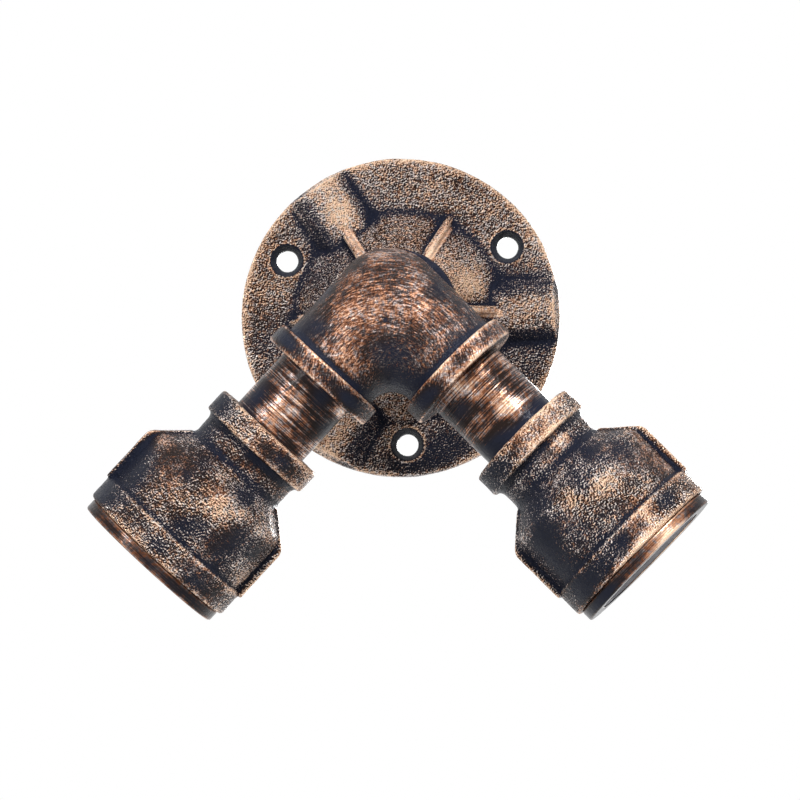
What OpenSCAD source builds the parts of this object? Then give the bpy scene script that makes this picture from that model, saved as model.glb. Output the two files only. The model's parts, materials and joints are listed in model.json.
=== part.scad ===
// Twin wall light made of cast pipe fittings: a ribbed floor flange, a side outlet elbow,
// two short pipe arms and two reducing sockets, each with a screw lampholder in its mouth.
// Millimetres. +Z is up, the wall is the plane Y = 0 and the light stands out towards -Y.
// The origin is the centre of the flange's back face.

/* [Wall flange] */
// Outer diameter of the flange
flange_d = 102; // [96:1:116]
// Thickness of the flange plate
flange_t = 5.4; // [5:0.2:7]
// Turn of the flange on the wall, in degrees
flange_turn = 2; // [0:1:20]
// Distance of the hub face from the wall
hub_out = 20; // [19:0.5:24]
// Diameter of the hub
hub_d = 39; // [38:0.5:41]
// Diameter of the dome where it meets the plate
dome_d = 66.6; // [64:0.2:69]
// Wall of the dome, square to its slope
dome_wall = 3; // [2.5:0.25:3.5]
// Diameter of the circle of wall screws
screw_circle_d = 81.6; // [80:0.2:86]
// Diameter of a wall screw hole
screw_hole_d = 6.8; // [5:0.2:7.6]
// Diameter of the countersink round a screw hole
countersink_d = 10.2; // [9.4:0.2:11.4]
// Width of a ridge at its foot
ridge_w = 20.5; // [16:0.5:22]
// Width of a ridge at its shoulders
ridge_top_w = 12.6; // [9:0.2:14]
// Height of a ridge above the plate
ridge_h = 4.2; // [3:0.2:5]
// Thickness of a gusset
gusset_t = 2.8; // [2:0.2:3.4]
// Rise of a gusset above the dome
gusset_rise = 2; // [1.2:0.2:2.6]

/* [Pipe] */
// Outer diameter of the pipe
pipe_d = 26.9; // [26.6:0.1:27.4]
// Wall of the pipe
pipe_wall = 2.65; // [2:0.05:3.2]
// Length of an arm nipple
arm_nipple_len = 50.8; // [46:0.2:64]
// Length of the close nipple between flange and elbow
rear_nipple_len = 32; // [30:0.5:33]

/* [Side outlet elbow] */
// Distance from the elbow's centre to each port face
elbow_reach = 33.4; // [32:0.2:36]
// Diameter of the elbow's body
elbow_d = 34; // [33:0.2:35.4]
// Diameter of the beads round the ports
elbow_bead_d = 39.6; // [38.6:0.2:42]
// Width of the beads round the ports
elbow_bead_w = 6.6; // [5:0.2:7.4]
// Radius of the crotch between two ports
crotch_r = 7.5; // [6:0.25:8]
// Angle of each arm from straight down, in degrees
arm_angle = 44; // [42:0.5:48]
// Thread left showing between flange and elbow
rear_gap = 1.8; // [1:0.2:3]
// Length of the close nipple's thread inside the elbow
rear_turn_in = 15; // [13:0.2:15.6]
// Length of the left nipple's thread inside each fitting
left_turn_in = 15; // [12:0.2:15.6]
// Length of the right nipple's thread inside each fitting
right_turn_in = 13.2; // [12:0.2:15.6]

/* [Reducing socket] */
// Length of a reducing socket
reducer_len = 52; // [50:0.5:54]
// Diameter of the small bead
small_bead_d = 38.7; // [37.6:0.1:41]
// Width of the small bead
small_bead_w = 7.8; // [6:0.2:8.6]
// Diameter of the neck
neck_d = 34; // [33.4:0.2:35.4]
// Distance from the small face to the start of the shoulder
shoulder_start = 14.2; // [13:0.2:15]
// Slope of the shoulder from the axis, in degrees
shoulder_angle = 48; // [42:1:54]
// Wall of the wide body round the lamp ring's thread
body_wall = 5; // [4.4:0.1:5.6]
// Height of the large bead above the wide body
large_bead_h = 1.2; // [0.8:0.1:3]
// Width of the large bead
large_bead_w = 9; // [7:0.2:10]
// Height of the wrench lugs above the wide body
lug_h = 2; // [1.4:0.1:2.6]
// Width of a wrench lug
lug_w = 10; // [7:0.5:12]
// Turn of the left socket on its pipe, in degrees
left_socket_turn = -8; // [-45:1:45]
// Turn of the right socket on its pipe, in degrees
right_socket_turn = 0; // [-45:1:45]

/* [Lamp ring] */
// Width of the lamp ring's collar outside its thread
collar_w = 4.85; // [4.2:0.05:5.2]
// Thickness of the collar
collar_t = 3.8; // [3.6:0.1:4.6]
// Length of the thread of the lamp ring
ring_thread_len = 14; // [10:0.5:17]
// Wall of the lamp ring inside its thread
ring_wall = 2.65; // [2.4:0.05:3]

/* [Lampholder] */
// Bore of the screw shell for the lamp cap
shell_bore_d = 26.6; // [26.4:0.1:27]
// Thickness of the screw shell's sheet
shell_t = 0.4; // [0.3:0.05:0.5]
// Distance from the socket's small face to the lampholder's back
holder_back = 25.4; // [24:0.1:26]
// Thickness of the floor of the well
well_floor = 5; // [4:0.25:5.5]
// Wall of the lampholder round its screw shell
holder_wall = 4.45; // [4:0.05:5]
// Overhang of the lampholder's rim
holder_rim_w = 1.8; // [1.4:0.1:2.1]
// Thickness of the lampholder's rim
holder_rim_t = 2; // [1.6:0.1:2]
// Width of the centre contact
contact_w = 5; // [4:0.25:6]
// Length of the centre contact's leaf
leaf_len = 8.6; // [7:0.2:9]
// Slope of the leaf at rest, in degrees
leaf_angle = 24; // [20:1:28]

/* [Leads and fixings] */
// Diameter of an internal lead
lead_d = 2.4; // [2:0.1:2.6]
// Diameter of a splice
splice_d = 6.4; // [5.6:0.2:6.6]
// Length of a splice
splice_len = 16; // [14:0.5:17]
// Diameter of the earth screw
earth_screw_d = 4; // [3:0.5:5]

/* [Hidden] */

$fn = 64;
left = -1;
right = 1;
live = 1;
neutral = -1;

// Clearances and the overrun of every cut
thread_gap = 0.05;
seat_gap = 0.1;
cut = 1;

// Colours
bronze = [0.42, 0.28, 0.2];
dark_bronze = [0.3, 0.22, 0.18];
porcelain = [0.93, 0.91, 0.86];
brass = [0.78, 0.6, 0.3];
steel = [0.6, 0.6, 0.62];
lead_black = [0.08, 0.08, 0.09];
lead_white = [0.85, 0.84, 0.8];
earth_green = [0.15, 0.42, 0.2];

// Radii of the pipe and its threads
pipe_r = pipe_d/2;
pipe_bore_r = pipe_r - pipe_wall;
pipe_bevel = 0.8;
thread_r = pipe_r + thread_gap;
thread_depth = 16;
mouth_bevel = 0.8;

// Flange
flange_r = flange_d/2;
hub_r = hub_d/2;
dome_r = dome_d/2;
dome_rise = hub_out - flange_t;
dome_run = dome_r - hub_r;
dome_slant = sqrt(pow(dome_rise, 2) + pow(dome_run, 2));
dome_wall_run = dome_wall*dome_slant/dome_rise;
plate_edge_r = 0.9;
hub_edge = 1;
boss_wall = 4;
boss_r = pipe_r + boss_wall;
boss_back = 8;
hub_wall = 5;
pocket_top = hub_out - hub_wall;
foot_blend = 1.2;
ridge_count = 3;
ridge_end_bevel = 1.7;
ridge_shoulder_share = 0.78;
ridge_groove_share = 0.5;
ridge_groove_wall = 3.4;
groove_side_share = 0.7;
groove_top_share = 0.6;
groove_margin = 5;
gusset_count = 6;
screw_count = 3;
screw_angle = 30;
screw_hole_r = screw_hole_d/2;
countersink_r = countersink_d/2;
countersink_rim = 1.2;
countersink_depth = (countersink_d - screw_hole_d)/2 + countersink_rim;
hole_lip_w = 0.6;
hole_lip_h = 0.2;

// Elbow and arms
elbow_out = hub_out + rear_gap + elbow_reach;
elbow_r = elbow_d/2;
elbow_passage_r = pipe_bore_r;
knuckle_extra = 0.15;
bend_inset = 0.1;
bead_round = 0.9;
bead_foot = 0.8;

// From the screw shell out to the lamp ring's thread
shell_bore_r = shell_bore_d/2;
shell_r = shell_bore_r + shell_t;
well_r = shell_r + thread_gap;
holder_r = well_r + holder_wall;
ring_bore_r = holder_r + seat_gap;
ring_r = ring_bore_r + ring_wall;

// Reducing socket
cavity_r = ring_r + thread_gap;
reducer_bead_round = 1;
neck_r = neck_d/2;
body_r = cavity_r + body_wall;
large_bead_r = body_r + large_bead_h;
neck_blend_r = 3;
shoulder_r = 5;
lug_r = body_r + lug_h;
lug_end_r = 4;
lug_proud = 0.4;
throat_r = 12.4;
throat_len = 1;
cavity_slope_len = 7.5;

// Lamp ring, snap ring and lampholder
collar_edge = 0.6;
collar_flat_r = ring_r + collar_w - collar_edge;
rim_r = holder_r + holder_rim_w;
rim_seat_r = rim_r + seat_gap;
rim_floor = 0.4;
snap_t = 1;
snap_gap = 0.05;
snap_hold = 1.1;
snap_over = 0.9;
snap_out_r = rim_r + snap_hold;
snap_in_r = rim_r - snap_over;
snap_opening = 24;
snap_ear_r = 1.5;
snap_ear_hole_r = 0.6;
snap_ear_inset = 0.35;
groove_r = snap_out_r + seat_gap;
groove_w = snap_t + 2*snap_gap;
holder_edge = 0.8;
shell_inset = 3.5;
shell_waist = 0.7;
shell_low_r = shell_bore_r - shell_waist;
shell_step = 6.5;
shell_hole_in = 4;
shell_hole_r = shell_low_r - shell_hole_in;
well_mouth = 0.9;
holder_len = reducer_len + rim_floor + holder_rim_t - holder_back;
well_depth = holder_len - well_floor;
strap_t = 0.5;
strap_tail = 3.2;
leaf_t = 0.4;
leaf_root_r = 0.8;
leaf_root_in = 6;
leaf_root_x = leaf_root_in - shell_low_r;
leaf_pad_len = 1.2;
leaf_nose_r = 1.1;
strap_rivet_x = -leaf_root_x - strap_tail;
terminal_in = 9.6;
terminal_y = holder_r - terminal_in;
terminal_w = 7;
terminal_t = 0.8;
terminal_edge = 2;
rivet_r = 1.2;
rivet_head_r = 1.8;
rivet_head_t = 0.7;
rivet_in = 2;
rivet_x = shell_low_r - rivet_in;
term_screw_r = 1.5;
term_head_r = 2.8;
term_head_t = 1.8;
term_slot_w = 0.7;
term_slot_depth = 0.8;
term_screw_len = 4;

// Leads: how far they lie from an axis, and where they turn
lead_r = lead_d/2;
lead_sides = 8;
lead_steps = 4;
lead_off = 3.4;
lead_pair = 1.5;
lead_tip = 0.8;
splice_r = splice_d/2;
splice_x = 22.4;
splice_out = 5.6;
splice_round = 1;
earth_x = 8;
earth_z = 22;
earth_boss_r = 4;
earth_hole_r = earth_screw_d/2 + thread_gap;
earth_seat = 5.6;
earth_head_r = 3.6;
earth_head_t = 2.2;
earth_shank = 7;
earth_slot_w = 1;
earth_slot_depth = 1;
washer_t = 0.8;

// Points of an arc about c, from angle a0 to a1
function arc(c, r, a0, a1, n = 6) =
    [for (i = [0:n]) c + r*[cos(a0 + (a1 - a0)*i/n), sin(a0 + (a1 - a0)*i/n)]];

function turn_in(side) = side == left ? left_turn_in : right_turn_in;

function socket_turn(side) = side == left ? left_socket_turn : right_socket_turn;

// Distances along an arm, from the elbow's centre
function nipple_start(side) = elbow_reach - turn_in(side);
function reducer_start(side) = elbow_reach + arm_nipple_len - 2*turn_in(side);
function mouth_at(side) = reducer_start(side) + reducer_len;
function holder_face(side) = mouth_at(side) + rim_floor + holder_rim_t;

// Local +Z runs out along an arm from the elbow's centre, and local Y stays the row's Y
module on_arm(side) {
    translate([0, -elbow_out, 0])
        rotate([0, side*(180 - arm_angle), 0])
            children();
}

// The same for what sits in the lampholder: Z = 0 is the face of its rim
module in_holder(side) {
    on_arm(side)
        translate([0, 0, holder_face(side)])
            children();
}

// A point of an arm's frame in the row's frame
function arm_point(side, p) =
    let (b = side*(180 - arm_angle))
    [p[0]*cos(b) + p[2]*sin(b), p[1] - elbow_out, p[2]*cos(b) - p[0]*sin(b)];

// Local +Z runs out from the wall, and local Y is the row's Z
module off_wall() {
    rotate([90, 0, 0])
        children();
}

// Solid of revolution of an outline of [radius, height] points
module turned(outline) {
    rotate_extrude($fn = 96)
        polygon(outline);
}

// Solid ring with rounded outer edges
module bead(r, z0, z1, round_r) {
    turned(concat(
        [[0, z0]],
        arc([r - round_r, z0 + round_r], round_r, -90, 0, 4),
        arc([r - round_r, z1 - round_r], round_r, 0, 90, 4),
        [[0, z1]]
    ));
}

// Plain bore between two heights
module bore(r, z0, z1) {
    translate([0, 0, z0])
        cylinder(r = r, h = z1 - z0);
}

// Threaded port: a plain bore in the thread's place, with a bevelled mouth at z = 0 looking up
module port_bore(depth) {
    turned([
        [0, -depth], [thread_r, -depth], [thread_r, -mouth_bevel],
        [thread_r + mouth_bevel, 0], [thread_r + mouth_bevel, cut], [0, cut]
    ]);
}

// Wall flange

function dome_r_at(z) = dome_r - (z - flange_t)*dome_run/dome_rise;
function dome_inner_at(z) = dome_r_at(max(z, flange_t)) - dome_wall_run;

module flange_body() {
    turned(concat(
        [[0, 0], [flange_r, 0]],
        arc([flange_r - plate_edge_r, flange_t - plate_edge_r], plate_edge_r, 0, 90, 4),
        [
            [dome_r + foot_blend, flange_t],
            [dome_r + foot_blend*0.2, flange_t + foot_blend*0.25],
            [dome_r_at(flange_t + foot_blend), flange_t + foot_blend],
            [hub_r, hub_out - hub_edge],
            [hub_r - hub_edge, hub_out],
            [0, hub_out]
        ]
    ));
}

// Ridge across the plate: sloping flanks and a crowned top, along local X
module ridge_bar() {
    root_z = flange_t/2;
    shoulder_z = flange_t + ridge_h*ridge_shoulder_share;
    top_z = flange_t + ridge_h;
    translate([hub_r, 0, 0])
        rotate([90, 0, 90])
            linear_extrude(height = flange_r)
                polygon(concat(
                    [[-ridge_w/2, root_z], [ridge_w/2, root_z], [ridge_w/2, flange_t]],
                    [for (i = [-3:3])
                        [-ridge_top_w*i/6, top_z - (top_z - shoulder_z)*pow(i/3, 2)]],
                    [[-ridge_w/2, flange_t]]
                ));
}

module ridges() {
    top_z = flange_t + ridge_h + seat_gap;
    intersection() {
        for (i = [0:ridge_count - 1])
            rotate([0, 0, i*360/ridge_count])
                ridge_bar();
        turned([
            [0, 0], [flange_r - seat_gap, 0], [flange_r - seat_gap, flange_t - plate_edge_r],
            [flange_r - ridge_end_bevel, top_z], [0, top_z]
        ]);
    }
}

// Round-topped rib from the hub down the dome, with a round foot on the plate
module gussets() {
    rod_r = gusset_t/2;
    low = flange_t/2;
    slope = atan2(dome_run, dome_rise);
    top_run = (gusset_rise - rod_r)*dome_slant/dome_rise;
    far = dome_r + top_run + (flange_t - low)*dome_run/dome_rise;
    for (i = [0:gusset_count - 1])
        rotate([0, 0, i*360/gusset_count]) {
            rotate([90, 0, 0])
                translate([0, 0, -rod_r])
                    linear_extrude(height = gusset_t)
                        polygon([
                            [thread_r + thread_gap, low], [far, low],
                            [hub_r + top_run - hub_edge*0.5, hub_out - hub_edge*1.5],
                            [thread_r + thread_gap, hub_out - hub_edge*1.5]
                        ]);
            intersection() {
                translate([far, 0, low])
                    rotate([0, -slope, 0])
                        translate([0, 0, -rod_r])
                            cylinder(r = rod_r, h = dome_slant + hub_out);
                bore(flange_r, low, hub_out - hub_edge*1.5);
            }
        }
}

module screw_places() {
    for (i = [0:screw_count - 1])
        rotate([0, 0, screw_angle + i*360/screw_count])
            translate([screw_circle_d/2, 0, 0])
                children();
}

module flange_hollow() {
    difference() {
        turned([
            [0, -cut], [dome_inner_at(0), -cut], [dome_inner_at(0), flange_t],
            [dome_inner_at(pocket_top), pocket_top], [0, pocket_top]
        ]);
        turned([
            [0, boss_back], [boss_r, boss_back], [boss_r, pocket_top + cut], [0, pocket_top + cut]
        ]);
        rotate([0, 0, -flange_turn])
            translate([earth_x, earth_z, earth_seat])
                cylinder(r = earth_boss_r, h = pocket_top);
    }
}

module ridge_grooves() {
    depth = (flange_t + ridge_h)*ridge_groove_share;
    half_low = (ridge_top_w - ridge_groove_wall)/2;
    for (i = [0:ridge_count - 1])
        rotate([0, 0, i*360/ridge_count])
            rotate([90, 0, 90])
                linear_extrude(height = flange_r - groove_margin)
                    polygon([
                        [-half_low, -cut], [half_low, -cut],
                        [half_low, depth*groove_side_share], [half_low*groove_top_share, depth],
                        [-half_low*groove_top_share, depth], [-half_low, depth*groove_side_share]
                    ]);
}

module wall_flange() {
    color(bronze)
        off_wall()
            rotate([0, 0, flange_turn])
                difference() {
                    union() {
                        flange_body();
                        ridges();
                        gussets();
                        screw_places()
                            cylinder(r = countersink_r + hole_lip_w, h = flange_t + hole_lip_h);
                    }
                    flange_hollow();
                    difference() {
                        ridge_grooves();
                        cylinder(r = boss_r, h = hub_out);
                        rotate([0, 0, -flange_turn])
                            translate([earth_x, earth_z, earth_seat])
                                cylinder(r = earth_boss_r, h = pocket_top);
                    }
                    translate([0, 0, hub_out])
                        port_bore(hub_out + cut);
                    screw_places() {
                        bore(screw_hole_r, -cut, flange_t + cut);
                        translate([0, 0, flange_t + hole_lip_h - countersink_depth])
                            cylinder(r1 = screw_hole_r, r2 = countersink_r, h = countersink_depth);
                        bore(countersink_r, flange_t + hole_lip_h - seat_gap, flange_t + cut);
                    }
                    rotate([0, 0, -flange_turn])
                        translate([earth_x, earth_z, 0])
                            bore(earth_hole_r, earth_seat - cut, earth_seat + earth_shank);
                }
}

// Pipe nipples

module nipple(length) {
    turned([
        [pipe_bore_r, 0], [pipe_r - pipe_bevel, 0], [pipe_r, pipe_bevel],
        [pipe_r, length - pipe_bevel], [pipe_r - pipe_bevel, length], [pipe_bore_r, length]
    ]);
}

module rear_nipple() {
    color(dark_bronze)
        translate([0, elbow_reach - rear_turn_in - elbow_out, 0])
            rotate([-90, 0, 0])
                nipple(rear_nipple_len);
}

module arm_nipple(side) {
    color(bronze)
        on_arm(side)
            translate([0, 0, nipple_start(side)])
                nipple(arm_nipple_len);
}

// Side outlet elbow

// Directions of the three ports: both arms, and the rear port towards the wall
module at_ports() {
    for (side = [left, right])
        rotate([0, side*(180 - arm_angle), 0])
            children();
    rotate([-90, 0, 0])
        children();
}

// Bend that blends two ports which stand an angle apart, in the local XZ plane about -Z
module crotch_bend(apart) {
    bend_r = elbow_r + crotch_r;
    sweep = 180 - apart;
    translate([0, 0, -bend_r/sin(apart/2)])
        rotate([90, 0, 0])
            rotate([0, 0, 90 - sweep/2])
                rotate_extrude(angle = sweep, $fn = 96)
                    translate([bend_r, 0])
                        circle(r = elbow_r - bend_inset, $fn = 96);
}

module elbow_shell() {
    at_ports() {
        cylinder(r = elbow_r, h = elbow_reach - elbow_bead_w/2, $fn = 96);
        bead(elbow_bead_d/2, elbow_reach - elbow_bead_w, elbow_reach, bead_round);
    }
    sphere(r = elbow_r + knuckle_extra, $fn = 96);
    crotch_bend(2*arm_angle);
    for (side = [left, right])
        rotate([0, side*(180 - arm_angle), 0])
            rotate([135, 0, 0])
                rotate([0, 0, 90])
                    crotch_bend(90);
}

module side_outlet_elbow() {
    color(bronze)
        translate([0, -elbow_out, 0])
            difference() {
                elbow_shell();
                sphere(r = elbow_passage_r + knuckle_extra);
                at_ports() {
                    bore(elbow_passage_r, 0, elbow_reach);
                    translate([0, 0, elbow_reach])
                        port_bore(thread_depth);
                }
            }
}

// Reducing socket, from its small face at z = 0

// Where the shoulder's straight slope starts, and where the wide body starts
slope_r = neck_r + neck_blend_r*(1 - cos(shoulder_angle));
slope_z = shoulder_start + neck_blend_r*sin(shoulder_angle);
function slope_end_z(r, blend) =
    slope_z + (r - blend*(1 - cos(shoulder_angle)) - slope_r)/tan(shoulder_angle)
    + blend*sin(shoulder_angle);
wide_z = slope_end_z(body_r, shoulder_r);

module reducer_outside() {
    bead(small_bead_d/2, 0, small_bead_w, reducer_bead_round);
    turned(concat(
        [[0, small_bead_w/2], [neck_r + bead_foot, small_bead_w/2],
         [neck_r + bead_foot, small_bead_w], [neck_r, small_bead_w + bead_foot*2]],
        arc([neck_r + neck_blend_r, shoulder_start], neck_blend_r, 180, 180 - shoulder_angle),
        arc([body_r - shoulder_r, wide_z], shoulder_r, -shoulder_angle, 0),
        [[body_r, reducer_len - large_bead_w/2], [0, reducer_len - large_bead_w/2]]
    ));
    bead(large_bead_r, reducer_len - large_bead_w, reducer_len, reducer_bead_round);
}

module wrench_lug() {
    end_z = slope_end_z(lug_r, lug_end_r) - lug_proud;
    top_z = reducer_len - large_bead_w + reducer_bead_round;
    translate([0, lug_w/2, 0])
        rotate([90, 0, 0])
            linear_extrude(height = lug_w)
                polygon(concat(
                    [[neck_r, slope_z - lug_proud]],
                    [[slope_r, slope_z - lug_proud]],
                    arc([lug_r - lug_end_r, end_z], lug_end_r, -shoulder_angle, 0),
                    [[lug_r, top_z], [neck_r, top_z]]
                ));
}

module reducer_inside() {
    slope_start = thread_depth + throat_len;
    turned([
        [0, -cut], [thread_r + mouth_bevel, -cut], [thread_r + mouth_bevel, 0],
        [thread_r, mouth_bevel], [thread_r, thread_depth], [throat_r, thread_depth],
        [throat_r, slope_start], [cavity_r, slope_start + cavity_slope_len],
        [cavity_r, reducer_len + cut], [0, reducer_len + cut]
    ]);
}

module reducer(side) {
    color(bronze)
        on_arm(side)
            translate([0, 0, reducer_start(side)])
                difference() {
                    union() {
                        reducer_outside();
                        for (turn = [0, 180])
                            rotate([0, 0, turn + socket_turn(side)])
                                wrench_lug();
                    }
                    reducer_inside();
                }
}

// Lamp ring: a threaded bush with a collar, from the collar's inner face at z = 0

module lamp_ring(side) {
    seat_z = rim_floor;
    groove_z = rim_floor + holder_rim_t;
    color(dark_bronze)
        on_arm(side)
            translate([0, 0, mouth_at(side)])
                difference() {
                    turned(concat(
                        [[0, -ring_thread_len], [ring_r - pipe_bevel, -ring_thread_len],
                         [ring_r, pipe_bevel - ring_thread_len], [ring_r, 0],
                         [collar_flat_r, 0]],
                        arc([collar_flat_r, collar_edge], collar_edge, -90, 0, 3),
                        arc([collar_flat_r, collar_t - collar_edge], collar_edge, 0, 90, 3),
                        [[0, collar_t]]
                    ));
                    bore(ring_bore_r, -ring_thread_len - cut, collar_t);
                    bore(rim_seat_r, seat_z, collar_t + cut);
                    bore(groove_r, groove_z, groove_z + groove_w);
                }
}

module snap_ring(side) {
    half = snap_opening/2;
    ear_place = snap_in_r - snap_ear_r + 2*snap_ear_inset;
    color(steel)
        in_holder(side)
            translate([0, 0, snap_gap])
                difference() {
                    union() {
                        rotate([0, 0, half])
                            rotate_extrude(angle = 360 - snap_opening, $fn = 96)
                                translate([snap_in_r, 0])
                                    square([snap_out_r - snap_in_r, snap_t]);
                        for (turn = [half, -half])
                            rotate([0, 0, turn])
                                translate([ear_place, sign(turn)*snap_ear_r, 0])
                                    cylinder(r = snap_ear_r, h = snap_t);
                    }
                    for (turn = [half, -half])
                        rotate([0, 0, turn])
                            translate([ear_place, sign(turn)*snap_ear_r, 0])
                                bore(snap_ear_hole_r, -cut, snap_t + cut);
                }
}

// Lampholder, from the face of its rim at z = 0 down to its back

module holder_body(side) {
    back = -holder_len;
    color(porcelain)
        in_holder(side)
            difference() {
                turned([
                    [0, back], [holder_r - holder_edge, back], [holder_r, back + holder_edge],
                    [holder_r, -holder_rim_t], [rim_r - holder_edge/2, -holder_rim_t],
                    [rim_r, holder_edge/2 - holder_rim_t], [rim_r, -holder_edge/2],
                    [rim_r - holder_edge/2, 0], [0, 0]
                ]);
                turned([
                    [0, -well_depth], [well_r, -well_depth], [well_r, -well_mouth],
                    [well_r + well_mouth, 0], [well_r + well_mouth, cut], [0, cut]
                ]);
                for (turn = [0, 180])
                    rotate([0, 0, turn])
                        translate([0, terminal_y, 0])
                            bore(term_screw_r + thread_gap, back - cut, back + term_screw_len);
                for (turn = [0, 180])
                    rotate([0, 0, turn])
                        translate([rivet_x, 0, 0])
                            bore(rivet_r + thread_gap, back - cut, cut - well_depth);
                translate([strap_rivet_x, 0, 0])
                    bore(rivet_r + thread_gap, back - cut, cut - well_depth);
            }
}

module screw_shell(side) {
    low = -well_depth;
    step = low + shell_step;
    top = -shell_inset;
    color(brass)
        in_holder(side)
            difference() {
                turned([
                    [shell_hole_r, low], [shell_low_r + shell_t, low],
                    [shell_low_r + shell_t, step - shell_t], [shell_r, step - shell_t],
                    [shell_r, top], [shell_bore_r, top], [shell_bore_r, step],
                    [shell_low_r, step], [shell_low_r, low + shell_t], [shell_hole_r, low + shell_t]
                ]);
                for (turn = [0, 180])
                    rotate([0, 0, turn])
                        translate([rivet_x, 0, 0])
                            bore(rivet_r + thread_gap, low - cut, low + cut);
            }
}

// Rivets that hold the screw shell's foot to the floor of the well: one also holds its terminal
module shell_rivets(side) {
    top = shell_t - well_depth;
    color(brass)
        in_holder(side)
            for (place = [1, -1])
                translate([place*rivet_x, 0, 0])
                    union() {
                        bore(rivet_r, -holder_len - (place < 0 ? terminal_t : 0), top);
                        bore(rivet_head_r, top, top + rivet_head_t);
                    }
}

module contact_strap(side) {
    pad_start = leaf_root_x - leaf_pad_len;
    color(brass)
        in_holder(side)
            translate([0, 0, -well_depth])
                union() {
                    translate([pad_start, -contact_w/2, 0])
                        cube([strap_rivet_x + rivet_head_r - pad_start, contact_w, strap_t]);
                    translate([strap_rivet_x, 0, 0]) {
                        bore(rivet_head_r, strap_t/2, strap_t + rivet_head_t/2);
                        bore(rivet_r, -well_floor - terminal_t, strap_t);
                    }
                }
}

// Sprung leaf that presses on the lamp's tip: its rolled root is the axis it bends about
module contact_leaf(side) {
    root_z = strap_t + leaf_root_r + thread_gap;
    color(brass)
        in_holder(side)
            translate([leaf_root_x, 0, root_z - well_depth])
                rotate([0, -leaf_angle, 0])
                    translate([0, contact_w/2, 0])
                        rotate([90, 0, 0])
                            linear_extrude(height = contact_w)
                                union() {
                                    circle(r = leaf_root_r);
                                    translate([0, leaf_root_r - leaf_t])
                                        square([leaf_len, leaf_t]);
                                    translate([leaf_len, leaf_root_r - leaf_nose_r])
                                        intersection() {
                                            difference() {
                                                circle(r = leaf_nose_r);
                                                circle(r = leaf_nose_r - leaf_t);
                                            }
                                            translate([0, -leaf_nose_r/2])
                                                square([leaf_nose_r, leaf_nose_r*3/2]);
                                        }
                                }
}

// Rectangle between two opposite corners, in any order
module span(a, b) {
    translate([min(a[0], b[0]), min(a[1], b[1])])
        square([abs(b[0] - a[0]), abs(b[1] - a[1])]);
}

// Terminal plates on the back of the lampholder: each joins a screw to a rivet
module terminal_plate(side, place, rivet_at) {
    half = terminal_w/2;
    edge = terminal_edge;
    screw_y = place*terminal_y;
    color(brass)
        in_holder(side)
            translate([0, 0, -holder_len - terminal_t])
                difference() {
                    linear_extrude(height = terminal_t)
                        union() {
                            span([-half, screw_y - half], [half + edge, screw_y + half]);
                            span([rivet_at - edge, -place*edge], [rivet_at + edge, screw_y]);
                            span([rivet_at - edge, screw_y - edge], [0, screw_y + edge]);
                        }
                    translate([0, screw_y, 0])
                        bore(term_screw_r + thread_gap, -cut, terminal_t + cut);
                    translate([rivet_at, 0, 0])
                        bore(rivet_r + thread_gap, -cut, terminal_t + cut);
                }
}

module terminal_screw(place) {
    head_z = -holder_len - terminal_t;
    translate([0, place*terminal_y, 0])
        difference() {
            union() {
                bore(term_screw_r, head_z, term_screw_len - holder_len - seat_gap);
                bore(term_head_r, head_z - term_head_t, head_z);
            }
            translate([-term_head_r - cut, -term_slot_w/2, head_z - term_head_t - cut])
                cube([2*(term_head_r + cut), term_slot_w, term_slot_depth + cut]);
        }
}

module terminal_screws(side) {
    color(steel)
        in_holder(side)
            for (place = [1, -1])
                terminal_screw(place);
}

// Leads, splices and the earth screw

// Tube along a list of points: a ring of corners square to the route at each one
function unit(v) = v/norm(v);
function along(route, i) =
    unit(route[min(i + 1, len(route) - 1)] - route[max(i - 1, 0)]);
function across(d) = unit(cross(d, abs(d[0]) < 0.7 ? [1, 0, 0] : [0, 0, 1]));
function carried(v, d) = unit(v - (v*d)*d);
function frames(route, i, v) =
    i >= len(route) ? []
    : let (w = carried(v, along(route, i))) concat([w], frames(route, i + 1, w));

module tube(route, r, sides) {
    n = len(route);
    f = frames(route, 0, across(along(route, 0)));
    rings = [for (i = [0:n - 1]) for (k = [0:sides - 1])
        let (u = f[i], w = cross(along(route, i), u), a = 360*k/sides)
        route[i] + r*(cos(a)*u + sin(a)*w)];
    walls = [for (i = [0:n - 2]) for (k = [0:sides - 1])
        let (j = (k + 1)%sides, p = i*sides) each
        [[p + k, p + k + sides, p + j], [p + j, p + k + sides, p + j + sides]]];
    ends = concat(
        [for (k = [1:sides - 2]) [0, k, k + 1]],
        [for (k = [1:sides - 2]) [n*sides - sides, n*sides - sides + k + 1, n*sides - sides + k]]
    );
    polyhedron(points = rings, faces = concat(walls, ends));
}

// Smooth route through hand-chosen points
function between(p, i, t) =
    let (a = p[max(i - 1, 0)], b = p[i], c = p[i + 1], d = p[min(i + 2, len(p) - 1)])
    0.5*(2*b + (c - a)*t + (2*a - 5*b + 4*c - d)*t*t + (3*b - 3*c + d - a)*t*t*t);
function smooth(p, steps) = concat(
    [for (i = [0:len(p) - 2]) for (s = [0:steps - 1]) between(p, i, s/steps)],
    [p[len(p) - 1]]
);

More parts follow.
